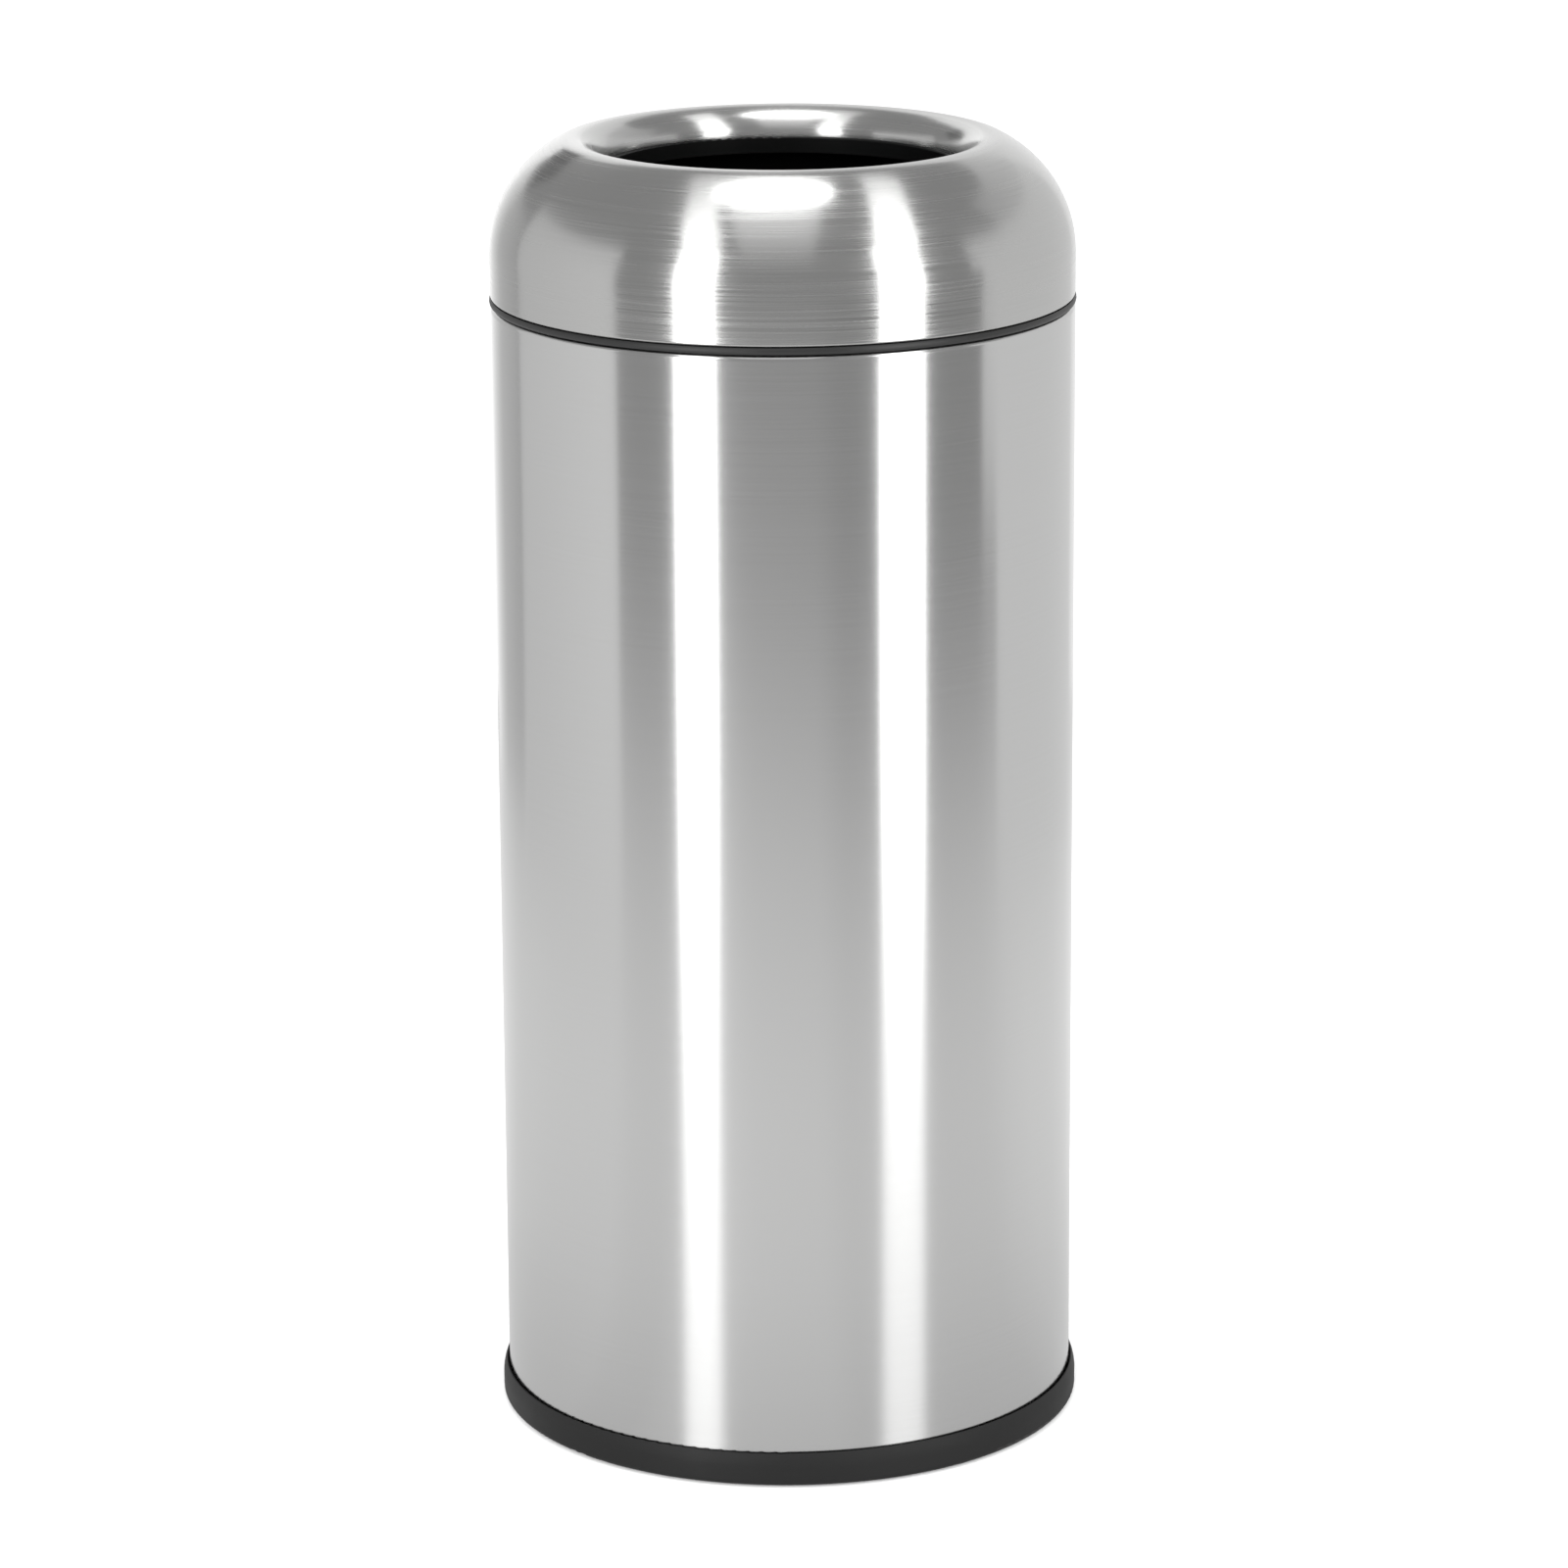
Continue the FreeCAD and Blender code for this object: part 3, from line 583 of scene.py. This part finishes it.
dome_shell = link_mesh(lathe(dome_mesh, SHEET), "dome_shell", dome_steel)
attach(dome_shell, "lid")
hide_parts("dome")
print("dome:", len(dome_shell.data.polygons), "faces, top at", round(dome_top, 1), "mm")

# %% [markdown]
# ## Moulded black plastic
#
# Skirt, liner, inner dome and grips are moulded polypropylene in black. The skirt's mould is etched,
# which leaves a fine grain that scatters highlights, and the others come from smoother moulds.
# Handling leaves slightly shinier and duller patches. So each finish is a dark grey with a fine bump
# and a roughness that drifts over a few centimetres. Polypropylene's refractive index is about 1.49.

# %% Mix the black plastics
PATCH_SIZE = 60.0
RELIEF_STRENGTH = 0.6


def moulded_plastic(name, dark, light, smooth, rough, grain, depth, **constants):
    """Moulded polypropylene; grain is the etched texture's size and depth its height, both in mm."""
    plastic, tree, shader = new_finish(name, IOR=1.49, **constants)
    place = add_node(tree, "ShaderNodeTexCoord").outputs["Object"]
    patches = add_node(tree, "ShaderNodeTexNoise", {
        "Vector": place, "Scale": 1 / (PATCH_SIZE * MM), "Detail": 3.0})
    etched = add_node(tree, "ShaderNodeTexNoise", {
        "Vector": place, "Scale": 1 / (grain * MM), "Detail": 2.0})
    shade = add_node(tree, "ShaderNodeMix", {
        0: patches.outputs[0], 6: linear(dark), 7: linear(light)}, data_type="RGBA")
    gloss = add_node(tree, "ShaderNodeMapRange", {
        0: patches.outputs[0], 1: NOISE_LOW, 2: NOISE_HIGH, 3: smooth, 4: rough})
    relief = add_node(tree, "ShaderNodeBump", {
        "Strength": RELIEF_STRENGTH, "Distance": depth * MM, "Height": etched.outputs[0]})
    tree.links.new(shade.outputs[2], shader.inputs["Base Color"])
    tree.links.new(gloss.outputs[0], shader.inputs["Roughness"])
    tree.links.new(relief.outputs[0], shader.inputs["Normal"])
    return plastic


# The skirt is dull and even; its grain is about 0.3 mm on a real moulding, drawn at 1 mm to show.
skirt_plastic = moulded_plastic("grained_black_polypropylene", "#0c0c0c", "#131313", 0.50, 0.62, 1.0, 0.06,
                                Specular_IOR_Level=0.38)
# The liner has a soft sheen, which shows on the dark band.
liner_plastic = moulded_plastic("smooth_black_polypropylene", "#131313", "#191919", 0.38, 0.46, 1.4, 0.02)
# The inner dome is smooth and deep black, so the mouth looks dark.
lid_plastic = moulded_plastic("gloss_black_polypropylene", "#060606", "#0a0a0a", 0.30, 0.36, 1.4, 0.01,
                              Specular_IOR_Level=0.2)
# The grips are a little greyer, from handling.
grip_plastic = moulded_plastic("handle_black_polypropylene", "#242424", "#2c2c2c", 0.42, 0.50, 0.8, 0.04)
black_plastics = (skirt_plastic, liner_plastic, lid_plastic, grip_plastic)
print("plastics:", ", ".join(plastic.name for plastic in black_plastics))

# %% [markdown]
# ## Metals and rubber out of sight
#
# The floor plate is hot-dip galvanised, and its zinc freezes in flat crystals that each mirror a
# different grey: a Voronoi pattern of about 9 mm. Handles and screws are bright zinc plate, which
# is a little bluish. The feet are black rubber, dull and slightly dusty.

# %% Mix the plated metals and the rubber
SPANGLE_SIZE = 9.0


def mottled(name, dark, light, smooth, rough, size, crystals=False, **constants):
    """A surface whose colour and roughness vary over a size in mm, in cloudy or crystal patches."""
    surface, tree, shader = new_finish(name, **constants)
    place = add_node(tree, "ShaderNodeTexCoord").outputs["Object"]
    kind = "ShaderNodeTexVoronoi" if crystals else "ShaderNodeTexNoise"
    pattern = add_node(tree, kind, {"Vector": place, "Scale": 1 / (size * MM)})
    value = add_node(tree, "ShaderNodeSeparateColor", {0: pattern.outputs["Color"]}).outputs[0]
    shade = add_node(tree, "ShaderNodeMix", {
        0: value, 6: linear(dark), 7: linear(light)}, data_type="RGBA")
    gloss = add_node(tree, "ShaderNodeMapRange", {0: value, 1: 0.0, 2: 1.0, 3: smooth, 4: rough})
    tree.links.new(shade.outputs[2], shader.inputs["Base Color"])
    tree.links.new(gloss.outputs[0], shader.inputs["Roughness"])
    return surface


# Crystals of different greys, each with its own gloss.
galvanised_steel = mottled("galvanised_steel_spangle", "#8d9093", "#b4b7b9", 0.35, 0.55,
                           SPANGLE_SIZE, crystals=True, Metallic=1.0)
# Bright and slightly clouded.
zinc_wire = mottled("bright_zinc_plate", "#b6b9bd", "#c9cccf", 0.18, 0.30, 4.0, Metallic=1.0)
# Duller than the wire, because screws are plated in bulk.
screw_zinc = mottled("zinc_plated_screw", "#a5a8ac", "#bcbfc2", 0.25, 0.40, 2.0, Metallic=1.0)
# No gloss to speak of.
foot_rubber = mottled("moulded_black_rubber", "#191919", "#262626", 0.70, 0.85, 3.0, IOR=1.52)
print("out of sight:", galvanised_steel.name, zinc_wire.name, screw_zinc.name, foot_rubber.name)

# %% [markdown]
# ## Dressing the solids
#
# Every solid that stays in view takes the finish of its record slot, so the finishes are kept by slot
# name and handed out in one loop.

# %% Hand out the finishes
FINISHES = {
    "brushed_stainless": body_steel,
    "galvanised_steel": galvanised_steel,
    "skirt_plastic": skirt_plastic,
    "liner_plastic": liner_plastic,
    "lid_plastic": lid_plastic,
    "foot_rubber": foot_rubber,
    "zinc_wire": zinc_wire,
    "grip_plastic": grip_plastic,
    "screw_steel": screw_zinc,
}
for subpart in frame["record"]["subparts"]:
    solid = frame["nodes"][subpart["node"]]
    for slot in solid.material_slots:
        slot.material = FINISHES[subpart["material_slot"]]
